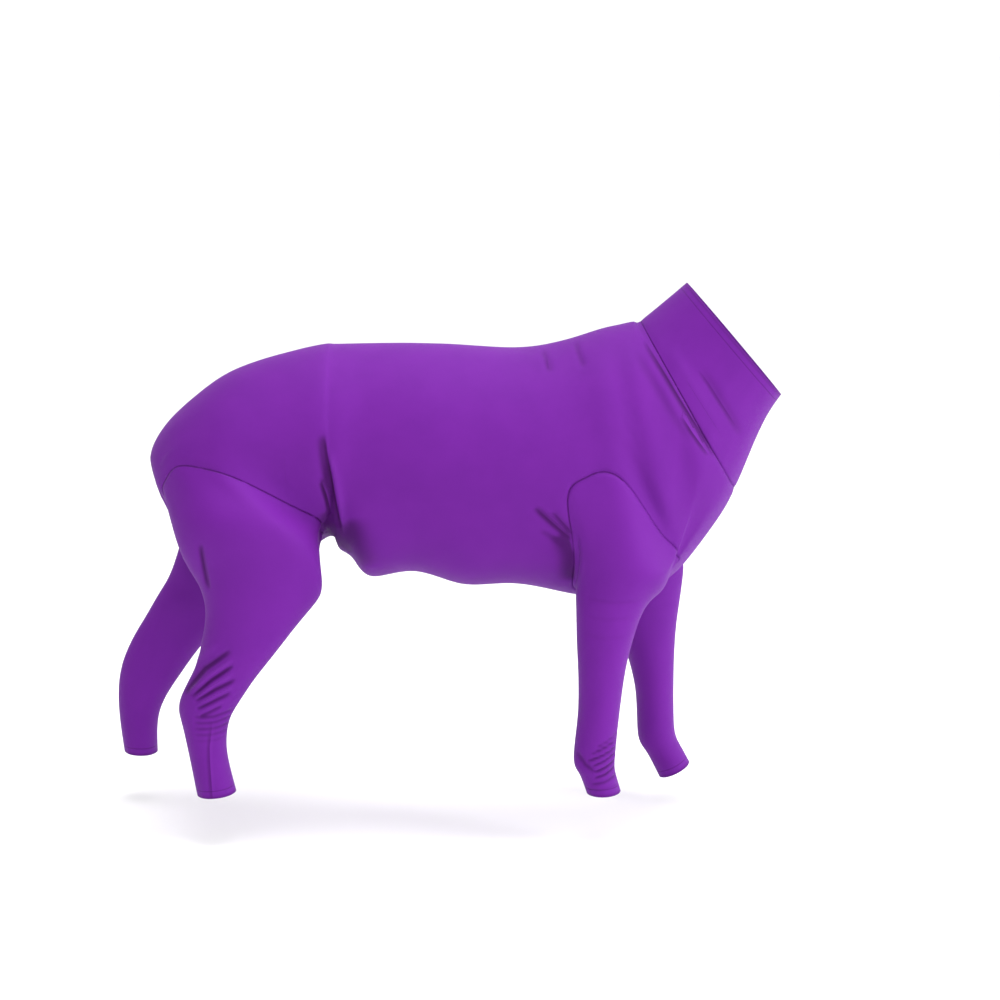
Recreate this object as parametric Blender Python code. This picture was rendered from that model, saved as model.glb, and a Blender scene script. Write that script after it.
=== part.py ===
"""A dog's full-body jumpsuit in stretch knit, in the form it has while worn.

+X is forward, +Y is the dog's left, +Z is up. The origin lies on the inner face of the back at the
withers, where the dog's back carries the cloth.

One smooth skin of quads is shaped from tables of sections: a trunk that runs from the tail opening to
the neck, with four leg tubes growing out of gaps in its lower sides. The skin is cut into the sewn
pieces along its seams, and each piece gets the thickness of the cloth on its inner side.
"""

import math

import bpy
import numpy as np

# Driving sizes, in metres
BODY_LENGTH = 0.72
CHEST_DEPTH = 0.285
CHEST_WIDTH = 0.225
LEG_LENGTH = 0.22
FRONT_LEG_DEPTH = 0.050
FRONT_LEG_WIDTH = 0.050
FRONT_LEG_TRACK = 0.170
HIND_LEG_DEPTH = 0.050
HIND_LEG_WIDTH = 0.050
HIND_LEG_TRACK = 0.170
CLOTH_THICKNESS = 0.0015
SEAM_GAP = 0.0004
FOLD_WIDTH = 0.012
FOLD_DEPTH = 0.004

KNIT_COLOUR = (0.20, 0.032, 0.36, 1.0)
KNIT_ROUGHNESS = 0.62

# Columns of a section, counted from the middle of the back down the right side to the middle of the
# belly, and on up the left side
COLUMNS = 16
SEAM_COLUMN = 4
INNER_COLUMN = 7
BELLY_COLUMN = 8

# Trunk and neck sections from the tail opening forward.
# back_x, under_x: share of BODY_LENGTH, ahead of the withers
# back_z, under_z: share of CHEST_DEPTH, above the withers
# width: share of CHEST_WIDTH
# seam: how far down the section the leg seam's column lies
# inner: share of the section's half width where the inner leg seam's column lies
TRUNK_SECTIONS = (
    # back_x, back_z, under_x, under_z, width, seam, inner
    (-0.628, -0.449, -0.602, -0.655, 0.25, 0.48, 0.80),
    (-0.620, -0.390, -0.582, -0.750, 0.45, 0.43, 0.82),
    (-0.593, -0.295, -0.548, -0.885, 0.68, 0.27, 0.60),
    (-0.545, -0.190, -0.508, -0.970, 0.84, 0.33, 0.50),
    (-0.473, -0.083, -0.445, -0.985, 0.92, 0.46, 0.46),
    (-0.366, -0.008, -0.352, -0.800, 0.88, 0.83, 0.46),
    (-0.338, 0.000, -0.330, -0.815, 0.83, 0.66, 0.46),
    (-0.312, 0.002, -0.308, -0.862, 0.88, 0.56, 0.46),
    (-0.274, 0.003, -0.278, -0.945, 0.90, 0.50, 0.45),
    (-0.205, 0.003, -0.210, -0.918, 0.94, 0.50, 0.44),
    (-0.125, -0.005, -0.131, -0.975, 0.97, 0.50, 0.43),
    (-0.045, -0.014, -0.048, -0.968, 0.99, 0.50, 0.42),
    (0.017, 0.007, 0.050, -1.018, 1.00, 0.525, 0.42),
    (0.056, 0.035, 0.111, -1.020, 0.99, 0.467, 0.44),
    (0.092, 0.063, 0.167, -0.990, 0.97, 0.557, 0.48),
    (0.118, 0.081, 0.215, -0.915, 0.93, 0.853, 0.50),
    (0.140, 0.090, 0.270, -0.725, 0.82, 0.66, 0.50),
    (0.153, 0.096, 0.310, -0.530, 0.70, 0.53, 0.46),
    (0.187, 0.163, 0.340, -0.325, 0.63, 0.50, 0.46),
    (0.222, 0.245, 0.373, -0.200, 0.60, 0.50, 0.46),
)
NECK_SEAM_ROW = 17

# Leg sections from below the seam down to the cuff.
# middle_x: share of BODY_LENGTH, ahead of the withers
# drop: share of LEG_LENGTH, below the belly line
# lean: how far the front lies below the back, share of LEG_LENGTH
# depth: share of the leg's own depth, front to back
# width: share of the leg's own width, side to side
# rise: how far the outer side lies above the middle, share of LEG_LENGTH
LEG_SECTIONS = {
    "front_leg_right": (
        # middle_x, drop, lean, depth, width, rise
        (0.117, -0.135, 0.036, 2.00, 1.48, 0.130),
        (0.102, -0.005, 0.000, 1.58, 1.40, 0.045),
        (0.093, 0.150, 0.000, 1.30, 1.28, 0.0),
        (0.088, 0.318, 0.000, 1.09, 1.16, 0.0),
        (0.0835, 0.560, 0.000, 0.95, 1.04, 0.0),
        (0.077, 0.795, 0.000, 0.95, 0.98, 0.0),
        (0.082, 0.882, 0.000, 0.84, 0.94, 0.0),
        (0.092, 1.000, -0.009, 0.78, 0.94, 0.0),
    ),
    "front_leg_left": (
        (0.141, -0.145, 0.045, 2.46, 1.48, 0.136),
        (0.155, 0.023, 0.000, 2.14, 1.40, 0.045),
        (0.166, 0.200, -0.009, 1.66, 1.28, 0.0),
        (0.177, 0.398, -0.023, 1.19, 1.16, 0.0),
        (0.186, 0.650, -0.025, 0.91, 1.04, 0.0),
        (0.189, 0.877, -0.036, 0.87, 0.98, 0.0),
        (0.201, 0.975, -0.032, 0.82, 0.94, 0.0),
        (0.2235, 1.132, -0.027, 0.72, 0.94, 0.0),
    ),
    "hind_leg_right": (
        (-0.4615, -0.260, 0.114, 3.19, 1.60, 0.250),
        (-0.449, -0.105, 0.055, 2.75, 1.60, 0.159),
        (-0.457, 0.045, 0.027, 2.17, 1.44, 0.068),
        (-0.481, 0.207, 0.050, 1.68, 1.24, 0.0),
        (-0.504, 0.348, 0.059, 1.34, 1.08, 0.0),
        (-0.532, 0.510, 0.045, 1.25, 1.00, 0.0),
        (-0.537, 0.620, 0.018, 1.05, 0.97, 0.0),
        (-0.5335, 0.773, 0.000, 0.87, 0.92, 0.0),
        (-0.521, 1.005, -0.018, 0.88, 0.96, 0.0),
    ),
    "hind_leg_left": (
        (-0.471, -0.268, 0.127, 3.24, 1.60, 0.250),
        (-0.485, -0.111, 0.132, 3.16, 1.60, 0.159),
        (-0.528, 0.040, 0.100, 2.50, 1.44, 0.068),
        (-0.576, 0.177, 0.136, 1.74, 1.24, 0.0),
        (-0.6125, 0.314, 0.127, 1.42, 1.08, 0.0),
        (-0.654, 0.535, 0.090, 1.30, 0.99, 0.0),
        (-0.674, 0.760, 0.027, 0.95, 0.95, 0.0),
        (-0.673, 1.009, 0.009, 0.79, 0.94, 0.0),
    ),
}
FRONT_LEG_ROWS = (12, 15)
HIND_LEG_ROWS = (1, 5)

# Main folds, each along a straight run seen from the side.
# start_x, end_x: share of BODY_LENGTH, ahead of the withers
# start_z, end_z: share of CHEST_DEPTH, above the withers
# width: share of FOLD_WIDTH, from the middle of the fold to its foot
# depth: share of FOLD_DEPTH, outward, so that a crease is below zero
FOLDS = (
    # sides, start_x, start_z, end_x, end_z, width, depth
    (("right", "left"), 0.182, -0.080, 0.262, -0.410, 0.9, -0.60),
    (("right", "left"), 0.233, -0.070, 0.303, -0.325, 1.0, -0.45),
    (("right", "left"), -0.344, -0.315, -0.325, -0.715, 1.1, -0.90),
    (("right", "left"), -0.324, -0.480, -0.314, -0.720, 0.8, 0.70),
    (("right", "left"), -0.010, -0.605, 0.042, -0.710, 0.9, -0.70),
    (("right",), -0.532, -0.745, -0.525, -0.910, 0.9, -0.50),
    (("right",), -0.487, -1.170, -0.540, -1.290, 1.0, -0.45),
    (("right",), -0.493, -1.300, -0.531, -1.350, 1.0, 0.40),
    (("left",), -0.600, -1.290, -0.655, -1.390, 1.0, -0.45),
    (("left",), -0.625, -1.390, -0.665, -1.440, 1.0, 0.40),
)

PIECES = ("trunk", "turtleneck", "front_leg_right", "front_leg_left", "hind_leg_right", "hind_leg_left")


def clear_scene():
    for old in list(bpy.data.objects):
        bpy.data.objects.remove(old)


def section_angles(seam, inner):
    """Angles down the right side of a section, from the back at zero to the belly at half a turn."""
    seam_angle = math.acos(1 - 2 * seam)
    inner_angle = math.pi - math.asin(inner)
    angles = []
    for column in range(BELLY_COLUMN + 1):
        if column <= SEAM_COLUMN:
            angles.append(seam_angle * column / SEAM_COLUMN)
        elif column <= INNER_COLUMN:
            step = (column - SEAM_COLUMN) / (INNER_COLUMN - SEAM_COLUMN)
            angles.append(seam_angle + (inner_angle - seam_angle) * step)
        else:
            angles.append(math.pi)
    return angles


def trunk_section(row):
    back_x, back_z, under_x, under_z, width, seam, inner = row
    back = np.array((back_x * BODY_LENGTH, 0.0, back_z * CHEST_DEPTH + CLOTH_THICKNESS))
    under = np.array((under_x * BODY_LENGTH, 0.0, under_z * CHEST_DEPTH + CLOTH_THICKNESS))
    right_side = []
    for angle in section_angles(seam, inner):
        point = back + (under - back) * (1 - math.cos(angle)) / 2
        point[1] = -math.sin(angle) * width * CHEST_WIDTH / 2
        right_side.append(point)
    left_side = [point * (1, -1, 1) for point in right_side[1:-1]]
    return right_side + left_side[::-1]


def leg_sizes(name):
    if name.startswith("front"):
        return FRONT_LEG_DEPTH, FRONT_LEG_WIDTH, FRONT_LEG_TRACK, FRONT_LEG_ROWS
    return HIND_LEG_DEPTH, HIND_LEG_WIDTH, HIND_LEG_TRACK, HIND_LEG_ROWS


def leg_section(name, row, angles):
    middle_x, drop, lean, depth, width, rise = row
    leg_depth, leg_width, track, _ = leg_sizes(name)
    side = -1 if name.endswith("right") else 1
    points = []
    for angle in angles:
        forward = math.sin(angle)
        outward = math.cos(angle)
        x = middle_x * BODY_LENGTH + forward * depth * leg_depth / 2
        y = side * (track / 2 + outward * width * leg_width / 2)
        z = -CHEST_DEPTH - (drop + lean / 2 * forward - rise * outward) * LEG_LENGTH
        points.append(np.array((x, y, z)))
    return points


def leg_loop(name):
    """Grid places round a leg's gap in the trunk, and the angle of each round the leg."""
    first, last = leg_sizes(name)[3]
    spans = last - first
    drops = INNER_COLUMN - SEAM_COLUMN
    places = [(first + step, SEAM_COLUMN) for step in range(spans)]
    places += [(last, SEAM_COLUMN + step) for step in range(drops)]
    places += [(last - step, INNER_COLUMN) for step in range(spans)]
    places += [(first, INNER_COLUMN - step) for step in range(drops)]
    angles = [math.radians(-45 + 90 * step / spans) for step in range(spans)]
    angles += [math.radians(45 + 90 * step / drops) for step in range(drops)]
    angles += [math.radians(135 + 90 * step / spans) for step in range(spans)]
    angles += [math.radians(225 + 90 * step / drops) for step in range(drops)]
    if name.endswith("left"):
        places = [(row, COLUMNS - column) for row, column in places]
    return places, angles


def in_leg_gap(row, column):
    for first, last in (FRONT_LEG_ROWS, HIND_LEG_ROWS):
        if first <= row < last:
            right = SEAM_COLUMN <= column < INNER_COLUMN
            left = COLUMNS - INNER_COLUMN <= column < COLUMNS - SEAM_COLUMN
            if right or left:
                return True
    return False


def build_cage():
    """Points, faces and the piece of each face, for the coarse skin."""
    points = []
    for row in TRUNK_SECTIONS:
        points += trunk_section(row)
    faces = []
    pieces = []
    for row in range(len(TRUNK_SECTIONS) - 1):
        for column in range(COLUMNS):
            if in_leg_gap(row, column):
                continue
            after = (column + 1) % COLUMNS
            here = row * COLUMNS
            ahead = here + COLUMNS
            faces.append((here + column, here + after, ahead + after, ahead + column))
            pieces.append(0 if row < NECK_SEAM_ROW else 1)
    for name, rows in LEG_SECTIONS.items():
        places, angles = leg_loop(name)
        above = [row * COLUMNS + column for row, column in places]
        for row in rows:
            below = list(range(len(points), len(points) + len(angles)))
            points += leg_section(name, row, angles)
            for step in range(len(above)):
                after = (step + 1) % len(above)
                face = (above[step], above[after], below[after], below[step])
                faces.append(face if name.endswith("left") else face[::-1])
                pieces.append(PIECES.index(name))
            above = below
    return np.array(points), faces, pieces


def smooth(points, faces, pieces, levels):
    """The skin after subdivision: points, faces, piece of each face and normal of each point."""
    mesh = bpy.data.meshes.new("cage")
    mesh.from_pydata([tuple(point) for point in points], [], faces)
    for piece in PIECES:
        mesh.materials.append(None)
    mesh.polygons.foreach_set("material_index", pieces)
    cage = bpy.data.objects.new("cage", mesh)
    bpy.context.scene.collection.objects.link(cage)
    modifier = cage.modifiers.new("smooth", "SUBSURF")
    modifier.levels = levels
    modifier.render_levels = levels
    depsgraph = bpy.context.evaluated_depsgraph_get()
    fine = cage.evaluated_get(depsgraph).to_mesh()
    fine_points = np.array([tuple(vertex.co) for vertex in fine.vertices])
    normals = np.array([tuple(vertex.normal) for vertex in fine.vertices])
    fine_faces = [tuple(polygon.vertices) for polygon in fine.polygons]
    fine_pieces = [polygon.material_index for polygon in fine.polygons]
    bpy.data.objects.remove(cage)
    bpy.data.meshes.remove(mesh)
    return fine_points, fine_faces, fine_pieces, normals


def fitted_skin(levels=1, rounds=4):
    """Subdivide the cage so that the smooth skin still passes through the points of the sections."""
    wanted, faces, pieces = build_cage()
    cage = wanted.copy()
    for _ in range(rounds):
        reached = smooth(cage, faces, pieces, levels)[0][:len(wanted)]
        cage += wanted - reached
    return smooth(cage, faces, pieces, levels)


def fold_height(point, normal, fold):
    """How far one fold lifts the cloth at a point, along the normal."""
    sides, start_x, start_z, end_x, end_z, width, depth = fold
    side = "right" if point[1] < 0 else "left"
    if side not in sides:
        return 0.0
    start = np.array((start_x * BODY_LENGTH, start_z * CHEST_DEPTH))
    run = np.array((end_x * BODY_LENGTH, end_z * CHEST_DEPTH)) - start
    place = point[[0, 2]] - start
    share = min(max(place @ run / (run @ run), 0.0), 1.0)
    away = np.linalg.norm(place - share * run) / (width * FOLD_WIDTH)
    outward = -normal[1] if side == "right" else normal[1]
    facing = min(max(outward / 0.5, 0.0), 1.0)
    return depth * FOLD_DEPTH * facing * math.exp(-away * away)


def folded(skin):
    """The skin with its main folds pressed in."""
    points, faces, pieces, normals = skin
    lifts = [sum(fold_height(point, normal, fold) for fold in FOLDS) for point, normal in zip(points, normals)]
    return points + normals * np.array(lifts)[:, None], faces, pieces, normals


def seam_directions(points, faces, pieces, normals):
    """For each point where two pieces meet, the direction across the seam, by piece."""
    owners = {}
    for face, piece in zip(faces, pieces):
        for start, end in zip(face, face[1:] + face[:1]):
            owners.setdefault(frozenset((start, end)), set()).add(piece)
    along = {}
    for edge, sides in owners.items():
        if len(sides) > 1:
            start, end = sorted(edge)
            for here, there in ((start, end), (end, start)):
                along.setdefault(here, []).append(points[there] - points[here])
    middles = {}
    for face, piece in zip(faces, pieces):
        middle = points[list(face)].mean(axis=0)
        for corner in face:
            if corner in along:
                middles.setdefault((corner, piece), []).append(middle)
    directions = {}
    for (corner, piece), places in middles.items():
        run = along[corner]
        tangent = run[0] - run[1] if len(run) > 1 else run[0]
        across = np.cross(tangent, normals[corner])
        across /= np.linalg.norm(across)
        inward = np.mean(places, axis=0) - points[corner]
        directions[corner, piece] = across if across @ inward > 0 else -across
    return directions


def halves(face, points):
    """A quad cut along its shorter diagonal, so that both sides of the cloth fold the same way."""
    first, second, third, fourth = face
    diagonal = np.linalg.norm(points[first] - points[third])
    if diagonal <= np.linalg.norm(points[second] - points[fourth]):
        return [(first, second, third), (first, third, fourth)]
    return [(first, second, fourth), (second, third, fourth)]


def build_piece(index, skin, directions):
    """One sewn piece: its share of the skin, drawn back from the seams and thickened inward."""
    points, faces, pieces, normals = skin
    own = []
    for face, piece in zip(faces, pieces):
        if piece == index:
            own += halves(face, points)
    used = sorted({corner for face in own for corner in face})
    place = {corner: number for number, corner in enumerate(used)}
    outer = []
    for corner in used:
        point = points[corner].copy()
        if (corner, index) in directions:
            point += directions[corner, index] * SEAM_GAP / 2
        outer.append(point)
    outer = np.array(outer)
    inner = outer - normals[used] * CLOTH_THICKNESS
    count = len(used)
    shell = [tuple(place[corner] for corner in face) for face in own]
    lining = [tuple(number + count for number in reversed(face)) for face in shell]
    edges = {(start, end) for face in shell for start, end in zip(face, face[1:] + face[:1])}
    rims = [(end, start, start + count, end + count) for start, end in edges if (end, start) not in edges]
    mesh = bpy.data.meshes.new(PIECES[index])
    mesh.from_pydata([tuple(point) for point in np.vstack((outer, inner))], [], shell + lining + sorted(rims))
    mesh.shade_smooth()
    mesh.set_sharp_from_angle(angle=math.radians(60))
    mesh.materials.append(knit_material(PIECES[index]))
    piece = bpy.data.objects.new(PIECES[index], mesh)
    bpy.context.scene.collection.objects.link(piece)


def knit_material(piece):
    material = bpy.data.materials.new(piece + "_knit")
    material.use_nodes = True
    shader = material.node_tree.nodes["Principled BSDF"]
    shader.inputs["Base Color"].default_value = KNIT_COLOUR
    shader.inputs["Roughness"].default_value = KNIT_ROUGHNESS
    shader.inputs["Metallic"].default_value = 0.0
    return material


clear_scene()
skin = folded(fitted_skin())
directions = seam_directions(*skin)
for index in range(len(PIECES)):
    build_piece(index, skin, directions)
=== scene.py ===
import math

import bpy
import numpy as np
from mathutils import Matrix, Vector, noise
from mathutils.kdtree import KDTree


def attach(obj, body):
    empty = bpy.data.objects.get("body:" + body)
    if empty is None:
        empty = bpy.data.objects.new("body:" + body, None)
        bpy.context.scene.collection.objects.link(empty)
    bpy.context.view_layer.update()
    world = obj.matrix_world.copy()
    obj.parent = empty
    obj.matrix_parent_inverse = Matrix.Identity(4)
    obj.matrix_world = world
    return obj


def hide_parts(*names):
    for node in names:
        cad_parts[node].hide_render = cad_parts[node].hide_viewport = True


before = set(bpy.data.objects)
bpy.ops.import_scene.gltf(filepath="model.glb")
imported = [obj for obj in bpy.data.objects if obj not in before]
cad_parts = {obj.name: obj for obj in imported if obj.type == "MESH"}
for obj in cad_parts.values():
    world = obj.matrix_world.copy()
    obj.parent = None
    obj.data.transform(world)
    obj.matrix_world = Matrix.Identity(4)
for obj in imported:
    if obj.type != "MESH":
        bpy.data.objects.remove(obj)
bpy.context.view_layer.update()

# The form of the worn suit. The cloth is a thin two-way-stretch knit that takes the shape of the body
# inside it, so one smooth skin is laid through sections of the trunk, neck and legs, and the sewn pieces
# are cut from it afterwards. Sizes are those of the solids that the pieces stand for.
BODY_LENGTH = 0.72
CHEST_DEPTH = 0.285
CHEST_WIDTH = 0.225
LEG_LENGTH = 0.22
LEG_GIRTH = 0.050
LEG_TRACK = 0.170
BACK_REST = 0.0015
COLUMNS = 16
SEAM_COLUMN = 4
INNER_COLUMN = 7
BELLY_COLUMN = 8
FINENESS = 4

# Trunk and neck sections from the tail opening forward.
# back_x, under_x: share of BODY_LENGTH, ahead of the withers
# back_z, under_z: share of CHEST_DEPTH, above the withers
# width: share of CHEST_WIDTH
# seam: how far down the section the leg seam's column lies
# inner: share of the section's half width where the inner leg seam's column lies
TRUNK_SECTIONS = (
    # back_x, back_z, under_x, under_z, width, seam, inner
    (-0.628, -0.449, -0.602, -0.655, 0.25, 0.48, 0.80),
    (-0.620, -0.390, -0.582, -0.750, 0.45, 0.43, 0.82),
    (-0.593, -0.295, -0.548, -0.885, 0.68, 0.27, 0.60),
    (-0.545, -0.190, -0.508, -0.970, 0.84, 0.33, 0.50),
    (-0.473, -0.083, -0.445, -0.985, 0.92, 0.46, 0.46),
    (-0.366, -0.008, -0.352, -0.788, 0.90, 0.83, 0.46),
    (-0.338, -0.001, -0.330, -0.825, 0.885, 0.66, 0.46),
    (-0.312, 0.001, -0.308, -0.862, 0.885, 0.56, 0.46),
    (-0.274, 0.003, -0.278, -0.945, 0.90, 0.50, 0.45),
    (-0.205, 0.003, -0.210, -0.918, 0.94, 0.50, 0.44),
    (-0.125, -0.005, -0.131, -0.975, 0.97, 0.50, 0.43),
    (-0.045, -0.014, -0.048, -0.968, 0.99, 0.50, 0.42),
    (0.017, 0.007, 0.050, -1.018, 1.00, 0.500, 0.42),
    (0.056, 0.035, 0.111, -1.020, 0.99, 0.455, 0.44),
    (0.092, 0.063, 0.167, -0.990, 0.97, 0.557, 0.48),
    (0.118, 0.081, 0.215, -0.915, 0.93, 0.853, 0.50),
    (0.140, 0.090, 0.270, -0.725, 0.82, 0.66, 0.50),
    (0.149, 0.094, 0.302, -0.582, 0.73, 0.56, 0.47),
    (0.187, 0.169, 0.342, -0.335, 0.63, 0.50, 0.46),
    (0.222, 0.245, 0.373, -0.200, 0.60, 0.50, 0.46),
)
NECK_SEAM_ROW = 17

# Leg sections from below the seam down to the cuff.
# middle_x: share of BODY_LENGTH, ahead of the withers
# drop: share of LEG_LENGTH, below the belly line
# lean: how far the front lies below the back, share of LEG_LENGTH
# depth: share of the leg's own depth, front to back
# width: share of the leg's own width, side to side
# rise: how far the outer side lies above the middle, share of LEG_LENGTH
LEG_SECTIONS = {
    "front_leg_right": (
        # middle_x, drop, lean, depth, width, rise
        (0.117, -0.135, 0.036, 2.00, 1.48, 0.130),
        (0.102, -0.005, 0.000, 1.58, 1.40, 0.045),
        (0.093, 0.150, 0.000, 1.30, 1.28, 0.0),
        (0.088, 0.318, 0.000, 1.09, 1.16, 0.0),
        (0.0835, 0.560, 0.000, 0.95, 1.04, 0.0),
        (0.077, 0.795, 0.000, 0.95, 0.98, 0.0),
        (0.082, 0.882, 0.000, 0.84, 0.94, 0.0),
        (0.092, 0.982, -0.009, 0.78, 0.94, 0.0),
    ),
    "front_leg_left": (
        (0.141, -0.145, 0.045, 2.46, 1.48, 0.136),
        (0.155, 0.023, 0.000, 2.14, 1.40, 0.045),
        (0.166, 0.200, -0.009, 1.66, 1.28, 0.0),
        (0.177, 0.398, -0.023, 1.19, 1.16, 0.0),
        (0.186, 0.650, -0.025, 0.91, 1.04, 0.0),
        (0.189, 0.877, -0.036, 0.87, 0.98, 0.0),
        (0.201, 0.975, -0.032, 0.82, 0.94, 0.0),
        (0.2200, 1.094, -0.080, 0.72, 0.94, 0.0),
    ),
    "hind_leg_right": (
        (-0.4615, -0.260, 0.114, 3.19, 1.60, 0.250),
        (-0.449, -0.105, 0.055, 2.75, 1.60, 0.159),
        (-0.457, 0.045, 0.027, 2.17, 1.44, 0.068),
        (-0.481, 0.207, 0.050, 1.68, 1.24, 0.0),
        (-0.504, 0.348, 0.059, 1.34, 1.08, 0.0),
        (-0.532, 0.510, 0.045, 1.25, 1.00, 0.0),
        (-0.537, 0.620, 0.018, 1.05, 0.97, 0.0),
        (-0.5335, 0.773, 0.000, 0.87, 0.92, 0.0),
        (-0.521, 0.988, -0.018, 0.88, 0.96, 0.0),
    ),
    "hind_leg_left": (
        (-0.480, -0.268, 0.127, 3.08, 1.60, 0.250),
        (-0.492, -0.111, 0.132, 3.04, 1.60, 0.159),
        (-0.528, 0.040, 0.100, 2.50, 1.44, 0.068),
        (-0.576, 0.177, 0.136, 1.74, 1.24, 0.0),
        (-0.6125, 0.314, 0.127, 1.42, 1.08, 0.0),
        (-0.654, 0.535, 0.090, 1.30, 0.99, 0.0),
        (-0.674, 0.760, 0.027, 0.95, 0.95, 0.0),
        (-0.673, 0.990, 0.009, 0.79, 0.94, 0.0),
    ),
}
FRONT_LEG_ROWS = (12, 15)
HIND_LEG_ROWS = (1, 5)
PIECES = ("trunk", "turtleneck", "front_leg_right", "front_leg_left", "hind_leg_right", "hind_leg_left")


def section_angles(seam, inner):
    """Angles down the right side of a section, from the back at zero to the belly at half a turn."""
    seam_angle = math.acos(1 - 2 * seam)
    inner_angle = math.pi - math.asin(inner)
    down = list(np.linspace(0, seam_angle, SEAM_COLUMN + 1))
    under = list(np.linspace(seam_angle, inner_angle, INNER_COLUMN - SEAM_COLUMN + 1))
    return down + under[1:] + [math.pi]


def trunk_section(row):
    back_x, back_z, under_x, under_z, width, seam, inner = row
    back = np.array((back_x * BODY_LENGTH, 0.0, back_z * CHEST_DEPTH + BACK_REST))
    under = np.array((under_x * BODY_LENGTH, 0.0, under_z * CHEST_DEPTH + BACK_REST))
    right_side = []
    for angle in section_angles(seam, inner):
        point = back + (under - back) * (1 - math.cos(angle)) / 2
        point[1] = -math.sin(angle) * width * CHEST_WIDTH / 2
        right_side.append(point)
    left_side = [point * (1, -1, 1) for point in right_side[1:-1]]
    return right_side + left_side[::-1]


def leg_section(name, row, angles):
    middle_x, drop, lean, depth, width, rise = row
    side = -1 if name.endswith("right") else 1
    points = []
    for angle in angles:
        forward = math.sin(angle)
        outward = math.cos(angle)
        x = middle_x * BODY_LENGTH + forward * depth * LEG_GIRTH / 2
        y = side * (LEG_TRACK / 2 + outward * width * LEG_GIRTH / 2)
        z = -CHEST_DEPTH - (drop + lean / 2 * forward - rise * outward) * LEG_LENGTH
        points.append(np.array((x, y, z)))
    return points


def leg_loop(name):
    """Grid places round a leg's gap in the trunk, and the angle of each round the leg."""
    first, last = FRONT_LEG_ROWS if name.startswith("front") else HIND_LEG_ROWS
    spans = last - first
    drops = INNER_COLUMN - SEAM_COLUMN
    places = [(first + step, SEAM_COLUMN) for step in range(spans)]
    places += [(last, SEAM_COLUMN + step) for step in range(drops)]
    places += [(last - step, INNER_COLUMN) for step in range(spans)]
    places += [(first, INNER_COLUMN - step) for step in range(drops)]
    angles = []
    for corner, steps in ((-45, spans), (45, drops), (135, spans), (225, drops)):
        angles += [math.radians(corner + 90 * step / steps) for step in range(steps)]
    if name.endswith("left"):
        places = [(row, COLUMNS - column) for row, column in places]
    return places, angles


def in_leg_gap(row, column):
    for first, last in (FRONT_LEG_ROWS, HIND_LEG_ROWS):
        right = SEAM_COLUMN <= column < INNER_COLUMN
        left = COLUMNS - INNER_COLUMN <= column < COLUMNS - SEAM_COLUMN
        if first <= row < last and (right or left):
            return True
    return False


def build_cage():
    """Points, faces, the piece of each face, and how the knit lies on each face's corners, in metres."""
    points = []
    for row in TRUNK_SECTIONS:
        points += trunk_section(row)
    faces = []
    pieces = []
    knit = []
    girth = math.pi * (CHEST_DEPTH + CHEST_WIDTH) / 2
    for row in range(len(TRUNK_SECTIONS) - 1):
        start, end = ((TRUNK_SECTIONS[at][0] + TRUNK_SECTIONS[at][2]) * BODY_LENGTH / 2 for at in (row, row + 1))
        for column in range(COLUMNS):
            if in_leg_gap(row, column):
                continue
            after = (column + 1) % COLUMNS
            here = row * COLUMNS
            ahead = here + COLUMNS
            faces.append((here + column, here + after, ahead + after, ahead + column))
            pieces.append(0 if row < NECK_SEAM_ROW else 1)
            low, high = column * girth / COLUMNS, (column + 1) * girth / COLUMNS
            knit.append(((low, start), (high, start), (high, end), (low, end)))
    for name, rows in LEG_SECTIONS.items():
        places, angles = leg_loop(name)
        above = [row * COLUMNS + column for row, column in places]
        height = -0.35 * LEG_LENGTH
        span = 3.2 * LEG_GIRTH / len(angles)
        for row in rows:
            below = list(range(len(points), len(points) + len(angles)))
            points += leg_section(name, row, angles)
            depth = row[1] * LEG_LENGTH
            for step in range(len(above)):
                after = (step + 1) % len(above)
                face = (above[step], above[after], below[after], below[step])
                low, high = step * span, (step + 1) * span
                lie = ((low, height), (high, height), (high, depth), (low, depth))
                left = name.endswith("left")
                faces.append(face if left else face[::-1])
                knit.append(lie if left else lie[::-1])
                pieces.append(PIECES.index(name))
            above = below
            height = depth
    return np.array(points), faces, pieces, knit


def smoothed(points, faces, pieces, knit, levels):
    """The cage as a mesh, subdivided."""
    mesh = bpy.data.meshes.new("cage")
    mesh.from_pydata([tuple(point) for point in points], [], faces)
    for piece in PIECES:
        mesh.materials.append(None)
    mesh.polygons.foreach_set("material_index", pieces)
    layer = mesh.uv_layers.new(name="knit")
    layer.data.foreach_set("uv", np.array(knit).ravel())
    cage = bpy.data.objects.new("cage", mesh)
    bpy.context.scene.collection.objects.link(cage)
    modifier = cage.modifiers.new("smooth", "SUBSURF")
    modifier.levels = levels
    modifier.render_levels = levels
    depsgraph = bpy.context.evaluated_depsgraph_get()
    fine = bpy.data.meshes.new_from_object(cage.evaluated_get(depsgraph))
    bpy.data.objects.remove(cage)
    bpy.data.meshes.remove(mesh)
    return fine


def coordinates(mesh):
    values = np.empty(len(mesh.vertices) * 3)
    mesh.vertices.foreach_get("co", values)
    return values.reshape(-1, 3)


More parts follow.
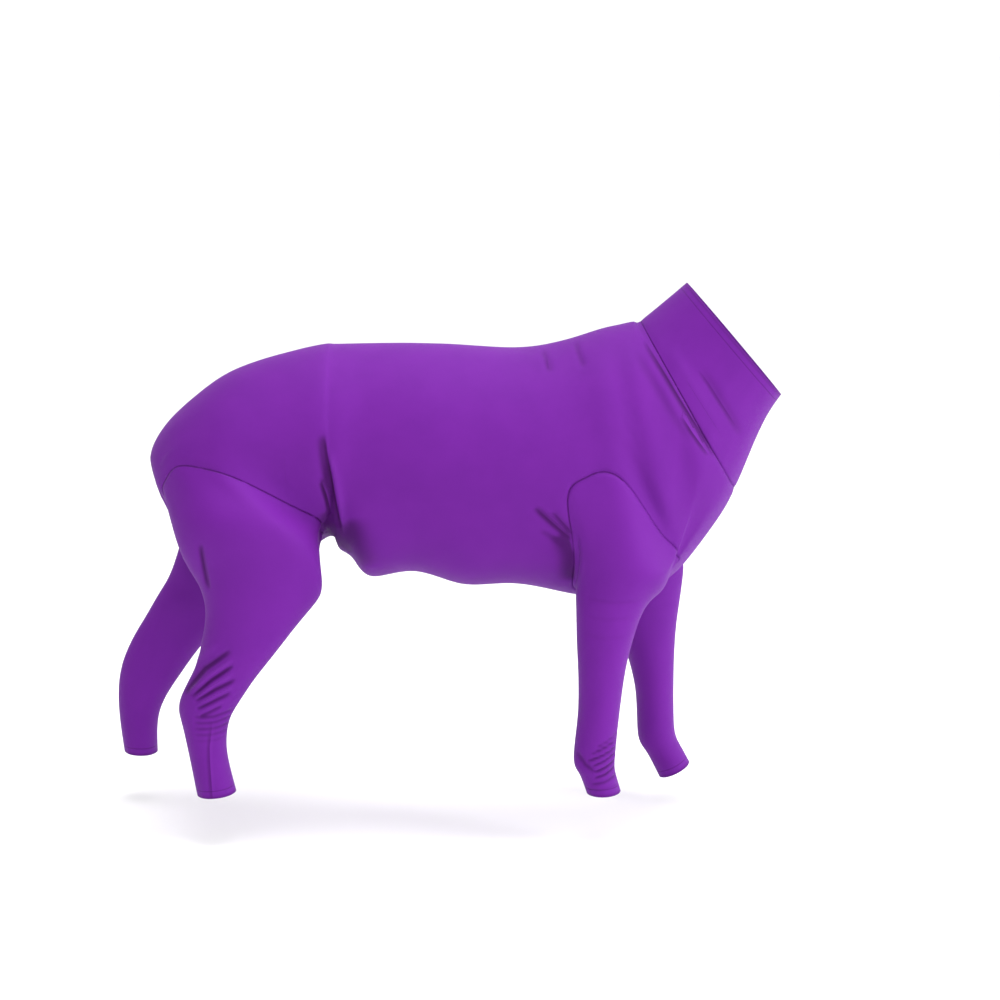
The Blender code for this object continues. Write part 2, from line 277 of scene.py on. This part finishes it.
wanted, cage_faces, cage_pieces, cage_knit = build_cage()
cage_points = wanted.copy()
for attempt in range(4):
    rough = smoothed(cage_points, cage_faces, cage_pieces, cage_knit, 2)
    cage_points += wanted - coordinates(rough)[:len(wanted)]
    bpy.data.meshes.remove(rough)
skin = smoothed(cage_points, cage_faces, cage_pieces, cage_knit, FINENESS)
skin_points = coordinates(skin)
skin_faces = np.empty(len(skin.polygons) * 4, dtype=int)
skin.polygons.foreach_get("vertices", skin_faces)
skin_faces = skin_faces.reshape(-1, 4)
skin_pieces = np.empty(len(skin.polygons), dtype=int)
skin.polygons.foreach_get("material_index", skin_pieces)
skin_knit = np.empty(len(skin.loops) * 2)
skin.uv_layers["knit"].data.foreach_get("uv", skin_knit)
skin_knit = skin_knit.reshape(-1, 4, 2)


# The folds that the body presses into the knit: deep creases round the neck, slack at the flank and
# armpits, the gathers above the hock and at the wrists, and faint tension lines elsewhere. Each is a
# line in side view, in millimetres ahead of and above the withers.
FOLDS = (
    # sides, line, width behind, width ahead, lift
    ("both", ((108, 14), (131, -21), (153, -57), (172, -86), (190, -118)), 5.5, 2.6, -1.3),
    ("both", ((98, 4), (121, -33), (143, -69), (162, -98)), 7.0, 5.0, -0.7),
    ("both", ((168, -16), (181, -34), (195, -56), (220, -97)), 3.5, 8.0, -0.9),
    ("both", ((137, 7), (160, -28), (179, -56), (197, -85)), 7.0, 7.0, 0.8),
    ("both", ((-4, -1), (1, -11), (5, -22)), 4.5, 4.5, -0.8),
    ("both", ((33, 8), (37, -4), (42, -16)), 4.5, 4.5, -0.8),
    ("both", ((-248, -84), (-243, -124), (-237, -160), (-232, -196)), 7.5, 3.0, -2.4),
    ("both", ((-243, -100), (-235, -132), (-230, -166), (-226, -200)), 3.0, 5.0, 1.3),
    ("both", ((-251, -136), (-244, -163), (-241, -190)), 3.5, 3.0, -1.4),
    ("both", ((-221, -182), (-214, -208), (-203, -248)), 13.0, 19.0, -1.15),
    ("both", ((-250, -176), (-238, -206), (-222, -234)), 8.0, 6.0, -1.2),
    ("both", ((-14, -165), (9, -187), (29, -205)), 5.0, 4.0, -1.8),
    ("both", ((6, -170), (18, -184), (30, -198)), 3.5, 3.5, -1.2),
    ("both", ((-8, -193), (12, -206), (28, -214)), 4.0, 4.0, -1.0),
    ("both", ((18, -196), (28, -224), (30, -262)), 15.0, 3.5, -1.9),
    ("right", ((-384, -205), (-381, -234), (-377, -262)), 4.0, 3.0, -1.6),
    ("right", ((-410, -384), (-384, -351), (-352, -327)), 4.0, 3.0, -2.0),
    ("right", ((-414, -372), (-395, -347), (-366, -320)), 4.0, 4.0, 1.0),
    ("right", ((-402, -380), (-376, -357), (-350, -338)), 3.0, 3.0, 1.5),
    ("right", ((-400, -385), (-376, -363), (-350, -345)), 3.0, 3.0, -2.0),
    ("right", ((-396, -386), (-374, -369), (-350, -356)), 3.0, 3.0, 1.4),
    ("right", ((-396, -389), (-372, -374), (-348, -363)), 3.0, 2.8, -1.9),
    ("right", ((-394, -393), (-370, -380), (-350, -371)), 2.8, 2.8, 1.2),
    ("right", ((-394, -398), (-372, -387), (-354, -379)), 2.8, 2.6, -1.7),
    ("right", ((-392, -402), (-374, -393), (-362, -388)), 2.6, 2.6, 1.0),
    ("right", ((-390, -406), (-374, -399), (-364, -394)), 2.6, 2.4, -1.4),
    ("right", ((-398, -407), (-375, -407), (-350, -401)), 2.4, 2.4, -1.2),
    ("right", ((-398, -414), (-375, -414), (-350, -409)), 2.4, 2.4, -1.1),
    ("right", ((-398, -421), (-375, -421), (-350, -417)), 2.4, 2.4, -1.1),
    ("right", ((-398, -428), (-375, -428), (-350, -424)), 2.4, 2.4, -0.9),
    ("right", ((-396, -435), (-375, -435), (-352, -432)), 2.4, 2.4, -0.6),
    ("right", ((56, -443), (68, -437), (84, -428)), 1.9, 1.9, -1.1),
    ("right", ((50, -451), (64, -445), (84, -436)), 1.9, 1.9, -1.6),
    ("right", ((48, -454), (64, -449), (84, -440)), 1.9, 1.9, 0.9),
    ("right", ((46, -459), (62, -453), (84, -444)), 1.9, 1.9, -1.8),
    ("right", ((52, -465), (66, -460), (84, -451)), 1.9, 1.9, -1.7),
    ("right", ((52, -468), (66, -463), (84, -455)), 1.9, 1.9, 0.9),
    ("right", ((54, -472), (68, -467), (84, -459)), 1.9, 1.9, -1.8),
    ("right", ((54, -479), (68, -475), (84, -467)), 1.9, 1.9, -1.6),
    ("right", ((50, -487), (66, -484), (86, -477)), 2.2, 2.2, -1.2),
    ("right", ((34, -450), (44, -463), (56, -472)), 3.2, 3.2, -1.3),
    ("right", ((44, -494), (62, -493), (88, -488)), 2.0, 2.0, -0.6),
    ("right", ((43, -269), (76, -272), (106, -272)), 3.5, 3.5, -0.45),
    ("right", ((41, -289), (70, -292), (99, -291)), 3.5, 3.5, -0.40),
    ("right", ((40, -310), (66, -314), (91, -313)), 3.5, 3.5, -0.35),
    ("left", ((118, -430), (138, -433), (160, -430)), 2.4, 2.4, -0.6),
    ("left", ((120, -440), (140, -442), (164, -437)), 2.4, 2.4, -0.8),
    ("left", ((122, -488), (142, -485), (163, -480)), 2.6, 2.6, -0.8),
    ("left", ((130, -505), (149, -502), (169, -497)), 2.6, 2.6, -0.7),
    ("left", ((-440, -368), (-465, -388), (-490, -404)), 4.0, 4.0, -1.8),
    ("left", ((-436, -390), (-462, -405), (-492, -418)), 3.5, 3.5, -1.6),
    ("left", ((-447, -412), (-470, -424), (-497, -434)), 3.0, 3.0, -1.3),
    ("left", ((-458, -444), (-482, -446), (-505, -446)), 2.6, 2.6, -0.9),
    ("left", ((-460, -454), (-482, -456), (-505, -455)), 2.6, 2.6, -0.8),
)
# The sharpest of the creases, where the knit doubles over itself to an edge.
CREASES = (
    # sides, line, depth
    ("both", ((109, 13), (131, -21), (153, -57), (172, -86), (188, -113)), 0.75),
    ("both", ((149, -66), (161, -85), (181, -113)), 0.85),
    ("both", ((168, -16), (181, -34), (195, -56), (213, -84)), 0.40),
    ("both", ((-246, -88), (-243, -108), (-238, -138), (-233, -172), (-228, -206)), 1.00),
    ("both", ((-251, -138), (-246, -155), (-241, -180)), 0.95),
    ("both", ((-14, -165), (9, -187), (29, -205)), 0.55),
    ("both", ((6, -170), (18, -184), (30, -198)), 0.45),
    ("both", ((1, -9), (3, -20)), 0.25),
    ("right", ((-384, -208), (-381, -234), (-378, -258)), 0.60),
    ("right", ((-408, -382), (-384, -351), (-354, -328)), 0.45),
    ("right", ((-400, -385), (-376, -363), (-350, -345)), 0.50),
    ("right", ((-396, -389), (-372, -374), (-350, -364)), 0.45),
    ("right", ((-392, -397), (-372, -387), (-356, -380)), 0.35),
    ("right", ((-376, -411), (-380, -443), (-380, -457), (-379, -477), (-377, -515)), 0.55),
)
SLACK = 0.0005
SLACK_LENGTH = 0.075
SEAM_DIP = 0.0010
SEAM_DIP_WIDTH = 0.0045
SEAM_EASING_STEPS = 240
SEAM_EASING_REACH = 0.014
NECK_START = 0.085
THROAT_TOP = -0.105
NAPE_BOTTOM = 0.005
SEAM_HIDDEN = 0.0011
PUCKER = 0.00035
PUCKER_LENGTH = 0.011


def point_normals(points, faces):
    """Outward normal of each point, from the quads round it."""
    first, second, third, fourth = (points[faces[:, corner]] for corner in range(4))
    across = np.cross(third - first, fourth - second)
    normals = np.zeros_like(points)
    for corner in range(4):
        np.add.at(normals, faces[:, corner], across)
    return normals / np.linalg.norm(normals, axis=1)[:, None]


def line_offset(places, line):
    """Distance of each place ahead of a line of straight runs, and its share of the way along it."""
    lengths = np.linalg.norm(line[1:] - line[:-1], axis=1)
    before = np.concatenate([[0], np.cumsum(lengths)])
    nearest = np.full(len(places), np.inf)
    offset = np.zeros(len(places))
    along = np.zeros(len(places))
    for number, (start, end) in enumerate(zip(line[:-1], line[1:])):
        run = end - start
        share = np.clip((places - start) @ run / (run @ run), 0, 1)
        away = places - start - share[:, None] * run
        distance = np.linalg.norm(away, axis=1)
        closer = distance < nearest
        ahead = np.sign(run[0] * away[:, 1] - run[1] * away[:, 0])
        nearest = np.where(closer, distance, nearest)
        offset = np.where(closer, distance * ahead, offset)
        along = np.where(closer, (before[number] + share * lengths[number]) / before[-1], along)
    return offset, along


def side_share(points, normals, sides):
    """How far each point faces the side that a fold lies on: 1 on the flat of the side, 0 past its edge."""
    facing = np.clip(normals[:, 1] * np.sign(points[:, 1]) / 0.25, 0, 1)
    if sides != "both":
        facing = facing * ((points[:, 1] < 0) == (sides == "right"))
    return facing


def fold_lift(points, normals, fold):
    """How far one fold lifts each point: a round crease or ridge that fades at its ends."""
    sides, line, behind, ahead, lift = fold
    offset, along = line_offset(points[:, [0, 2]], np.array(line) / 1000)
    away = np.where(offset < 0, offset / behind, offset / ahead) * 1000
    fade = 1 - np.abs(2 * along - 1) ** 6
    return np.exp(-away ** 2) * fade * side_share(points, normals, sides) * lift / 1000


normals = point_normals(skin_points, skin_faces)
fold_depth = sum(fold_lift(skin_points, normals, fold) for fold in FOLDS)
slack = np.array([
    noise.noise(Vector(point) / SLACK_LENGTH) + 0.4 * noise.noise(Vector(point) * 2.3 / SLACK_LENGTH)
    for point in skin_points
])
skin_points = skin_points + normals * (fold_depth + slack * SLACK)[:, None]

crease_offset = np.full(len(skin_points), 0.05)
crease_depth = np.zeros(len(skin_points))
for sides, line, depth in CREASES:
    offset, along = line_offset(skin_points[:, [0, 2]], np.array(line) / 1000)
    own_depth = depth * (1 - np.abs(2 * along - 1) ** 3) * side_share(skin_points, normals, sides)
    closer = (np.abs(offset) < np.abs(crease_offset)) & (own_depth > 0)
    crease_offset = np.where(closer, offset, crease_offset)
    crease_depth = np.where(closer, own_depth, crease_depth)

edge_pieces = {}
for face, piece in zip(skin_faces.tolist(), skin_pieces.tolist()):
    for start, end in zip(face, face[1:] + face[:1]):
        edge_pieces.setdefault((min(start, end), max(start, end)), []).append(piece)
seam_edges = [edge for edge, sides in edge_pieces.items() if len(sides) == 2 and sides[0] != sides[1]]
open_edges = [edge for edge, sides in edge_pieces.items() if len(sides) == 1]


def distance_from(edges, points):
    """Distance of each point from the nearest of some edges, taken finely along them."""
    tree = KDTree(len(edges) * 3)
    number = 0
    for start, end in edges:
        for share in (0.0, 0.33, 0.67):
            tree.insert(points[start] + (points[end] - points[start]) * share, number)
            number += 1
    tree.balance()
    return np.array([tree.find(point)[2] for point in points])



def eased_seams(points, normals, edges):
    """Draw each seam into a smooth curve along the cloth, and bring the knit beside it along."""
    beside = {}
    for start, end in edges:
        beside.setdefault(start, []).append(end)
        beside.setdefault(end, []).append(start)
    corners = np.array(sorted(beside))
    order = {corner: number for number, corner in enumerate(corners.tolist())}
    pairs = np.array([[order[other] for other in beside[corner][:2]] for corner in corners.tolist()])
    eased = points[corners].copy()
    for step in range(SEAM_EASING_STEPS):
        pull = 0.5 if step % 2 == 0 else -0.51
        eased += pull * (eased[pairs].mean(axis=1) - eased)
    shift = eased - points[corners]
    shift -= normals[corners] * (shift * normals[corners]).sum(axis=1)[:, None]
    tree = KDTree(len(corners))
    for number, corner in enumerate(corners.tolist()):
        tree.insert(points[corner], number)
    tree.balance()
    moved = points.copy()
    for number, point in enumerate(points):
        place, nearest, distance = tree.find(point)
        if distance < 3 * SEAM_EASING_REACH:
            moved[number] += shift[nearest] * math.exp(-(distance / SEAM_EASING_REACH) ** 2)
    return moved


skin_points = eased_seams(skin_points, normals, seam_edges)
seam_distance = distance_from(seam_edges, skin_points)
hem_distance = distance_from(open_edges, skin_points)
height = skin_points[:, 2]
pressed = np.clip(np.maximum(THROAT_TOP - height, height - NAPE_BOTTOM) / 0.030, 0, 1)
above_legs = (skin_points[:, 0] > NECK_START + height / 2) & (skin_points[:, 0] - height > 0.22)
above_legs = above_legs | (height > NAPE_BOTTOM)
seam_distance = seam_distance + pressed * above_legs * SEAM_HIDDEN
near_seam = np.exp(-(seam_distance / SEAM_DIP_WIDTH) ** 2)
puckers = np.array([noise.noise(Vector(point) / PUCKER_LENGTH) for point in skin_points])
skin_points = skin_points + normals * (puckers * PUCKER * near_seam - SEAM_DIP * near_seam)[:, None]
normals = point_normals(skin_points, skin_faces)


# The knit itself: a fine polyester and elastane jersey, dyed through, matt with a faint bloom where it
# turns away. The stitches are rows of small loops that open a little where the cloth is stretched.
KNIT_COLOUR = (0.143, 0.0115, 0.270)
# Colour of the painted shade in fold hollows and creases, also the dark of the seam and stitch lines and of the shade
# along open edges.
KNIT_PAINTED_SHADE_AND_LINES = (0.042, 0.0000, 0.072)
# Colour of the painted highlight on fold ridges and along crease lips.
KNIT_PAINTED_HIGHLIGHT = (0.205, 0.028, 0.375)
LOOP_WIDTH = 0.00085
LOOP_HEIGHT = 0.00070
LOOP_RELIEF = 0.0002
STITCH_FROM_EDGE = 0.0085


def link(tree, source, output, target, socket):
    tree.links.new(source.outputs[output], target.inputs[socket])


def maths(tree, operation, first, second=None, third=None):
    """One maths node. Each input is a number or another node's output."""
    node = tree.nodes.new("ShaderNodeMath")
    node.operation = operation
    for place, value in enumerate((first, second, third)):
        if isinstance(value, (int, float)):
            node.inputs[place].default_value = value
        elif value is not None:
            tree.links.new(value, node.inputs[place])
    return node.outputs[0]


def jersey_group():
    """Loops of a jersey knit from the lie of the cloth: their height, and a fine colour mask."""
    group = bpy.data.node_groups.new("jersey loops", "ShaderNodeTree")
    for name, value in (("Loop Width", LOOP_WIDTH), ("Loop Height", LOOP_HEIGHT)):
        socket = group.interface.new_socket(name, in_out="INPUT", socket_type="NodeSocketFloat")
        socket.default_value = value
    group.interface.new_socket("Lie", in_out="INPUT", socket_type="NodeSocketVector")
    group.interface.new_socket("Height", in_out="OUTPUT", socket_type="NodeSocketFloat")
    group.interface.new_socket("Mask", in_out="OUTPUT", socket_type="NodeSocketFloat")
    inside = group.nodes.new("NodeGroupInput")
    outside = group.nodes.new("NodeGroupOutput")
    split = group.nodes.new("ShaderNodeSeparateXYZ")
    link(group, inside, "Lie", split, 0)
    across = maths(group, "DIVIDE", split.outputs["X"], inside.outputs["Loop Width"])
    along = maths(group, "DIVIDE", split.outputs["Y"], inside.outputs["Loop Height"])
    column = maths(group, "PINGPONG", across, 0.5)
    slant = maths(group, "ADD", along, column)
    loop = maths(group, "SINE", maths(group, "MULTIPLY", slant, 2 * math.pi))
    wale = maths(group, "SINE", maths(group, "MULTIPLY", column, 2 * math.pi))
    raised = maths(group, "MULTIPLY_ADD", loop, 0.25, 0.5)
    height = maths(group, "MULTIPLY", raised, maths(group, "MULTIPLY_ADD", wale, 0.6, 0.4))
    group.links.new(height, outside.inputs["Height"])
    drift = group.nodes.new("ShaderNodeTexNoise")
    drift.inputs["Scale"].default_value = 26.0
    drift.inputs["Detail"].default_value = 5.0
    link(group, inside, "Lie", drift, "Vector")
    mask = maths(group, "MULTIPLY_ADD", height, 0.22, maths(group, "MULTIPLY", drift.outputs["Fac"], 0.9))
    group.links.new(mask, outside.inputs["Mask"])
    return group


def falloff(tree, value, near, far):
    """1 at the near value, 0 at the far one, smooth between."""
    node = tree.nodes.new("ShaderNodeMapRange")
    node.interpolation_type = "SMOOTHSTEP"
    node.inputs["From Min"].default_value = far
    node.inputs["From Max"].default_value = near
    tree.links.new(value, node.inputs["Value"])
    return node.outputs["Result"]


def blended(tree, factor, first, second, blend="MIX"):
    """Two colours blended by a factor. Each colour is three numbers or another node's output."""
    node = tree.nodes.new("ShaderNodeMix")
    node.data_type = "RGBA"
    node.blend_type = blend
    tree.links.new(factor, node.inputs["Factor"])
    for socket, colour in (("A", first), ("B", second)):
        if isinstance(colour, tuple):
            node.inputs[socket].default_value = (*colour, 1.0)
        else:
            tree.links.new(colour, node.inputs[socket])
    return node.outputs["Result"]


def knit_material(name):
    """Purple jersey: loops, painted shade in the folds and creases, painted highlight on the fold ridges and crease
    lips, a line along each seam and one stitch line beside each edge.
    """
    material = bpy.data.materials.new(name)
    material.use_nodes = True
    tree = material.node_tree
    shader = tree.nodes["Principled BSDF"]
    lie = tree.nodes.new("ShaderNodeUVMap")
    lie.uv_map = "knit"
    loops = tree.nodes.new("ShaderNodeGroup")
    loops.node_tree = jersey
    link(tree, lie, "UV", loops, "Lie")
    marks = {}
    for mark in ("seam", "hem", "fold", "crease", "crease_depth"):
        node = tree.nodes.new("ShaderNodeAttribute")
        node.attribute_name = mark
        marks[mark] = node.outputs["Fac"]

    seam_line = falloff(tree, marks["seam"], 0.0003, 0.0014)
    from_stitch = maths(tree, "ABSOLUTE", maths(tree, "SUBTRACT", marks["hem"], STITCH_FROM_EDGE))
    stitch_line = falloff(tree, from_stitch, 0.0002, 0.0009)
    edge_shade = falloff(tree, marks["hem"], 0.0010, 0.0045)
    # Besides cutting the bump, the crease mask darkens the colour in each crease as painted shade.
    behind = falloff(tree, marks["crease"], -0.0004, -0.0050)
    ahead = falloff(tree, marks["crease"], -0.0002, 0.0008)
    crease = maths(tree, "MULTIPLY", maths(tree, "MULTIPLY", behind, ahead), marks["crease_depth"])
    # Painted highlight along the lip beside each crease.
    lip = maths(tree, "MULTIPLY", falloff(tree, marks["crease"], 0.0012, 0.0050), marks["crease_depth"])
    lip = maths(tree, "MULTIPLY", lip, falloff(tree, marks["crease"], 0.0012, 0.0002))

    # Painted shade in the fold hollows and the flank hollow, and painted highlight on the fold ridges, mixed into the
    # colour.
    painted_fold_shade = maths(tree, "MULTIPLY", falloff(tree, marks["fold"], -0.85, 0.0), 0.72)
    pale = maths(tree, "MULTIPLY", falloff(tree, marks["fold"], 0.65, 0.0), 0.30)
    colour = blended(tree, painted_fold_shade, KNIT_COLOUR, KNIT_PAINTED_SHADE_AND_LINES)
    colour = blended(tree, pale, colour, KNIT_PAINTED_HIGHLIGHT)
    # Painted highlight on the crease lips, then painted shade in the creases.
    colour = blended(tree, maths(tree, "MULTIPLY", lip, 0.35), colour, KNIT_PAINTED_HIGHLIGHT)
    colour = blended(tree, maths(tree, "MULTIPLY", crease, 0.90), colour, KNIT_PAINTED_SHADE_AND_LINES)
    lines = maths(tree, "MAXIMUM", maths(tree, "MULTIPLY", seam_line, 0.42), maths(tree, "MULTIPLY", stitch_line, 0.40))
    lines = maths(tree, "MAXIMUM", lines, maths(tree, "MULTIPLY", edge_shade, 0.35))
    colour = blended(tree, lines, colour, KNIT_PAINTED_SHADE_AND_LINES)
    colour = blended(tree, loops.outputs["Mask"], colour, (0.80, 0.74, 0.84), "MULTIPLY")
    tree.links.new(colour, shader.inputs["Base Color"])

    dip = maths(tree, "MULTIPLY", maths(tree, "MAXIMUM", seam_line, stitch_line), -1.0)
    dip = maths(tree, "MULTIPLY_ADD", crease, -2.5, dip)
    bump = tree.nodes.new("ShaderNodeBump")
    bump.inputs["Strength"].default_value = 0.6
    bump.inputs["Distance"].default_value = LOOP_RELIEF
    tree.links.new(maths(tree, "ADD", loops.outputs["Height"], dip), bump.inputs["Height"])
    link(tree, bump, "Normal", shader, "Normal")
    shader.inputs["Roughness"].default_value = 0.62
    shader.inputs["Specular IOR Level"].default_value = 0.11
    shader.inputs["Sheen Weight"].default_value = 0.07
    shader.inputs["Sheen Roughness"].default_value = 0.35
    shader.inputs["Sheen Tint"].default_value = (0.80, 0.34, 1.0, 1.0)
    return material


jersey = jersey_group()
knit = knit_material("purple jersey")


# Cutting and edging. Each piece is one layer of knit. Where it meets another it is turned in along the
# seam, and at an open edge it is turned under once as a hem, which the stitch line holds down.
# Fold depth at which the painted shade and painted highlight of the folds are full.
FOLD_SHADED = 0.0022
# Place in side view and reach of a patch of painted shade in the hollow where the hind leg meets the flank.
FLANK_SHADE_PLACE = (-0.238, -0.202)
FLANK_SHADE_REACH = 0.019
SEAM_GAP = 0.0002
SEAM_ALLOWANCE = 0.0040
HEM_TURN = 0.0012
HEM_DEPTH = 0.0095


def edge_frames(edges, owners):
    """For each point on some edges, the direction in the cloth away from the edge, by piece."""
    along = {}
    for start, end in edges:
        along.setdefault(start, []).append(skin_points[end] - skin_points[start])
        along.setdefault(end, []).append(skin_points[start] - skin_points[end])
    inward = {}
    for corner, piece, middle in owners:
        if corner not in along:
            continue
        run = along[corner]
        tangent = run[0] - run[1] if len(run) > 1 else run[0]
        across = np.cross(tangent, normals[corner])
        across /= np.linalg.norm(across)
        toward = inward.setdefault((corner, piece), np.zeros(3))
        toward += across if across @ (middle - skin_points[corner]) > 0 else -across
    return {key: value / np.linalg.norm(value) for key, value in inward.items()}


edge_points = {corner for edge in seam_edges + open_edges for corner in edge}
touching = [
    (corner, piece, skin_points[face].mean(axis=0))
    for face, piece in zip(skin_faces, skin_pieces.tolist())
    for corner in face.tolist()
    if corner in edge_points
]
seam_inward = edge_frames(seam_edges, touching)
hem_inward = edge_frames(open_edges, touching)
# Painted shade: distance from the flank hollow beside the hind leg, where the fold mark is pushed dark.
from_flank_shade = np.linalg.norm(skin_points[:, [0, 2]] - FLANK_SHADE_PLACE, axis=1) / FLANK_SHADE_REACH
# Painted shade and highlight: the fold depth becomes a mark that darkens the colour in fold hollows and lightens it on
# fold ridges.
fold_shade_and_highlight = np.clip(fold_depth / FOLD_SHADED - np.exp(-from_flank_shade ** 2), -1, 1)


def sewn_piece(name, material):
    """Cut one piece from the skin, turn its edges, and stand it in for its solid."""
    index = PIECES.index(name)
    own = skin_pieces == index
    faces = skin_faces[own]
    used, places = np.unique(faces, return_inverse=True)
    quads = places.reshape(-1, 4).tolist()
    points = skin_points[used].copy()
    marks = {
        "seam": seam_distance[used],
        "hem": hem_distance[used],
        # The fold mark carries the painted shade and painted highlight of the folds into the colour.
        "fold": fold_shade_and_highlight[used],
        "crease": crease_offset[used],
        "crease_depth": crease_depth[used],
    }
    lie = skin_knit[own].tolist()
    place = {corner: number for number, corner in enumerate(used.tolist())}
    for (corner, piece), inward in seam_inward.items():
        if piece == index:
            points[place[corner]] += inward * SEAM_GAP / 2
    extra = []
    source = []

    def turned_in(corner):
        """The new points that carry the edge on past this corner."""
        at = points[place[corner]]
        if (corner, index) in seam_inward:
            inward = seam_inward[corner, index]
            return [at + inward * 0.0003 - normals[corner] * SEAM_ALLOWANCE]
        inward = hem_inward[corner, index]
        under = at - normals[corner] * HEM_TURN
        return [
            at - inward * 0.0003 - normals[corner] * HEM_TURN * 0.3,
            under - inward * 0.0003 + normals[corner] * HEM_TURN * 0.3,
            under + inward * 0.0004,
            under + inward * HEM_DEPTH - normals[corner] * 0.0002,
        ]

    grown = {}
    for corner in used.tolist():
        if (corner, index) in seam_inward or (corner, index) in hem_inward:
            grown[corner] = []
            for point in turned_in(corner):
                grown[corner].append(len(points) + len(extra))
                extra.append(point)
                source.append(place[corner])
    rim = []
    for face, corners in zip(faces.tolist(), lie):
        for step in range(4):
            start, end = face[step], face[(step + 1) % 4]
            sides = edge_pieces[min(start, end), max(start, end)]
            if len(sides) == 2 and sides[0] == sides[1]:
                continue
            first = [place[start]] + grown[start]
            second = [place[end]] + grown[end]
            ends = (corners[step], corners[(step + 1) % 4])
            for level in range(min(len(first), len(second)) - 1):
                rim.append((second[level], first[level], first[level + 1], second[level + 1]))
                lie.append([ends[1], ends[0], ends[0], ends[1]])
    points = np.vstack([points] + [np.array(extra)])
    mesh = bpy.data.meshes.new(name + "_cloth")
    mesh.from_pydata(points.tolist(), [], quads + rim)
    layer = mesh.uv_layers.new(name="knit")
    layer.data.foreach_set("uv", np.array(lie).ravel())
    for mark, values in marks.items():
        attribute = mesh.attributes.new(mark, "FLOAT", "POINT")
        attribute.data.foreach_set("value", np.concatenate([values, values[source]]))
    mesh.shade_smooth()
    mesh.materials.append(material)
    piece = bpy.data.objects.new(name + "_cloth", mesh)
    bpy.context.scene.collection.objects.link(piece)
    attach(piece, "root")
    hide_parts(name)
    return piece


# Trunk: back, sides, belly and seat in one wrap of knit, hemmed round the tail opening and seamed to the
# neck and the four legs.
trunk = sewn_piece("trunk", knit)

# Turtleneck: a tube of the same knit sewn on at the base of the neck, with a turned hem at its open edge.
turtleneck = sewn_piece("turtleneck", knit)

# Front legs: tapered sleeves set in at the curved shoulder seams, gathered at the wrist and hemmed.
for side in ("right", "left"):
    front_leg = sewn_piece("front_leg_" + side, knit)

# Hind legs: wide over the thigh and narrow below the hock, set in at the curved hip seams and hemmed.
for side in ("right", "left"):
    hind_leg = sewn_piece("hind_leg_" + side, knit)


# Photographer's floor and lights: a plain pale floor at the height of the paws, a wide soft light high in
# front of the chest, another above the back, a broad fill beside the camera and a pale room.
FLOOR_DROP = 0.562
FLOOR_RADIUS = 40
VIEW_DISTANCE = 3.0
VIEW_PITCH = math.radians(11)
VIEW_LENS = 93.9
VIEW_AIM = Vector((-0.0518, 0.0, -0.1789))
ROOM_LIGHT = 1.11
ROOM_SLOPE = 0.60
LIGHTS = (
    # name, place, size, power
    ("key", (2.5, -0.8, 1.0), 1.4, 44.0),
    ("top", (0.0, -0.1, 2.5), 1.6, 52.0),
    ("fill", (-0.3, -3.2, 0.5), 2.4, 6.0),
)

bpy.ops.mesh.primitive_circle_add(vertices=64, radius=FLOOR_RADIUS, fill_type="NGON", location=(0, 0, -FLOOR_DROP))
floor = bpy.context.object
floor.name = "floor"
pale = bpy.data.materials.new("pale floor")
pale.use_nodes = True
pale.node_tree.nodes["Principled BSDF"].inputs["Base Color"].default_value = (0.92, 0.92, 0.92, 1.0)
pale.node_tree.nodes["Principled BSDF"].inputs["Roughness"].default_value = 0.9
floor.data.materials.append(pale)

for name, place, size, power in LIGHTS:
    light = bpy.data.lights.new(name, "AREA")
    light.shape = "DISK"
    light.size = size
    light.energy = power
    lamp = bpy.data.objects.new(name, light)
    lamp.location = place
    lamp.rotation_euler = (VIEW_AIM - Vector(place)).to_track_quat("-Z", "Y").to_euler()
    bpy.context.scene.collection.objects.link(lamp)

room = bpy.data.worlds.new("pale room")
room.use_nodes = True
backdrop = room.node_tree.nodes["Background"]
backdrop.inputs["Color"].default_value = (1.0, 1.0, 1.0, 1.0)
toward = room.node_tree.nodes.new("ShaderNodeTexCoord")
axes = room.node_tree.nodes.new("ShaderNodeSeparateXYZ")
path = room.node_tree.nodes.new("ShaderNodeLightPath")
link(room.node_tree, toward, "Generated", axes, 0)
lit = maths(room.node_tree, "MULTIPLY_ADD", axes.outputs["X"], ROOM_SLOPE, ROOM_LIGHT)
seen = maths(room.node_tree, "MAXIMUM", lit, maths(room.node_tree, "MULTIPLY", path.outputs["Is Camera Ray"], 1.1))
room.node_tree.links.new(seen, backdrop.inputs["Strength"])
bpy.context.scene.world = room
bpy.context.scene.view_settings.view_transform = "Standard"

camera = bpy.data.objects.new("camera", bpy.data.cameras.new("camera"))
camera.data.lens = VIEW_LENS
camera.location = VIEW_AIM + VIEW_DISTANCE * Vector((0, -math.cos(VIEW_PITCH), math.sin(VIEW_PITCH)))
camera.rotation_euler = (math.pi / 2 - VIEW_PITCH, 0, 0)
bpy.context.scene.collection.objects.link(camera)
bpy.context.scene.camera = camera
